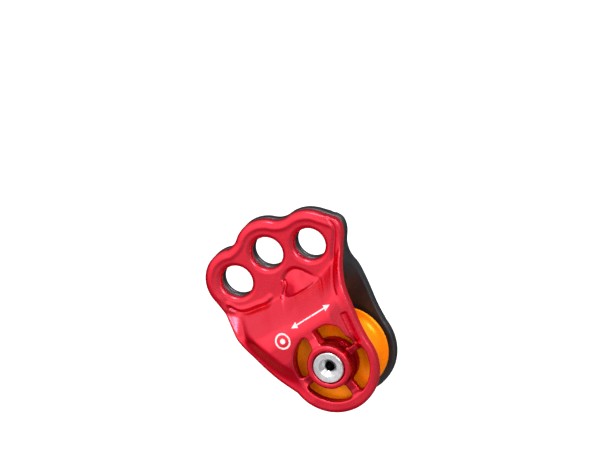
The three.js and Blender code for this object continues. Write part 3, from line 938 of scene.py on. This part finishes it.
def softbox(name, place, size, power, aim=(0, 0, -0.03)):
    data = bpy.data.lights.new(name, "AREA")
    data.shape = "RECTANGLE"
    data.size, data.size_y = size
    data.energy = power
    obj = bpy.data.objects.new(name, data)
    place, aim = Vector(place), Vector(aim)
    turn = (aim - place).to_track_quat("-Z", "Y").to_matrix().to_4x4()
    obj.matrix_world = Matrix.Translation(place) @ turn
    bpy.context.scene.collection.objects.link(obj)


def lights():
    softbox("key", (0.5, -0.5, 0.9), (0.5, 0.35), 8)
    softbox("edge", (0.9, 0.35, 0.35), (0.2, 0.7), 7)
    softbox("fill", (-0.5, -1.0, 0.3), (1.0, 1.0), 1.5)
    softbox("front", (0.9, -1.0, 0.0), (0.4, 0.4), 6.5, aim=AXLE)


def world():
    """White to the camera; for the light, bright from the upper front and dark from the lower back."""
    scene_world = bpy.data.worlds.new("studio")
    scene_world.use_nodes = True
    bpy.context.scene.world = scene_world
    tree = scene_world.node_tree
    background = tree.nodes["Background"]
    place = tree.nodes.new("ShaderNodeTexCoord")
    facing = tree.nodes.new("ShaderNodeVectorMath")
    facing.operation = "DOT_PRODUCT"
    facing.inputs[1].default_value = LIGHT_AXIS
    tree.links.new(place.outputs["Generated"], facing.inputs[0])
    ramp_node = tree.nodes.new("ShaderNodeValToRGB")
    ramp_node.color_ramp.interpolation = "B_SPLINE"
    shifted = tree.nodes.new("ShaderNodeMapRange")
    shifted.inputs["From Min"].default_value = -1
    tree.links.new(facing.outputs["Value"], shifted.inputs["Value"])
    tree.links.new(shifted.outputs["Result"], ramp_node.inputs["Fac"])
    elements = ramp_node.color_ramp.elements
    for place_on_ramp, level in ((0.33, 0.08), (0.5, 0.32), (0.63, 0.74), (0.8, 1.0)):
        elements.new(place_on_ramp).color = (level, level, level, 1)
    elements[0].color = (0.04, 0.04, 0.04, 1)
    elements[-1].color = (1.05, 1.05, 1.05, 1)
    seen = tree.nodes.new("ShaderNodeLightPath")
    choose = tree.nodes.new("ShaderNodeMix")
    choose.data_type = "RGBA"
    tree.links.new(seen.outputs["Is Camera Ray"], choose.inputs[0])
    tree.links.new(ramp_node.outputs["Color"], choose.inputs[6])
    choose.inputs[7].default_value = (1, 1, 1, 1)
    tree.links.new(choose.outputs[2], background.inputs["Color"])
    background.inputs["Strength"].default_value = 1.0


def floor():
    """Wide pale floor, well below the hanging pulley: bright to the camera, dimmer to the pulley."""
    mesh = bpy.data.meshes.new("floor")
    reach, level = 12.0, CAD_BOX[0][2] - 0.12
    corners = [(x * reach, y * reach, level) for x, y in ((-1, -1), (1, -1), (1, 1), (-1, 1))]
    mesh.from_pydata(corners, [], [(0, 1, 2, 3)])
    obj = bpy.data.objects.new("floor", mesh)
    bpy.context.scene.collection.objects.link(obj)
    nodes = Nodes("pale_floor")
    away = nodes.add("ShaderNodeVectorMath", {0: nodes.place()}, operation="LENGTH").outputs["Value"]
    # Painted shade: the floor is a darker grey within about 0.35 m of the axle, fading to the plain grey by
    # 1.5 m.
    shaded_near_grey, far_grey = (0.28,) * 3, (0.58,) * 3
    nodes.connect(Base_Color=nodes.mix(nodes.remap(away, 350, 1500), shaded_near_grey, far_grey))
    nodes.shader.inputs["Roughness"].default_value = 0.9
    nodes.shader.inputs["Specular IOR Level"].default_value = 0.0
    nodes.shader.inputs["Emission Color"].default_value = (1, 1, 1, 1)
    seen = nodes.add("ShaderNodeLightPath").outputs["Is Camera Ray"]
    nodes.connect(Emission_Strength=nodes.math("MULTIPLY", seen, 0.96))
    mesh.materials.append(nodes.material)


bpy.context.scene.view_settings.view_transform = "Standard"
camera()
side_plates()
turned_pieces()
balls()
sampled_pieces()
lights()
world()
floor()
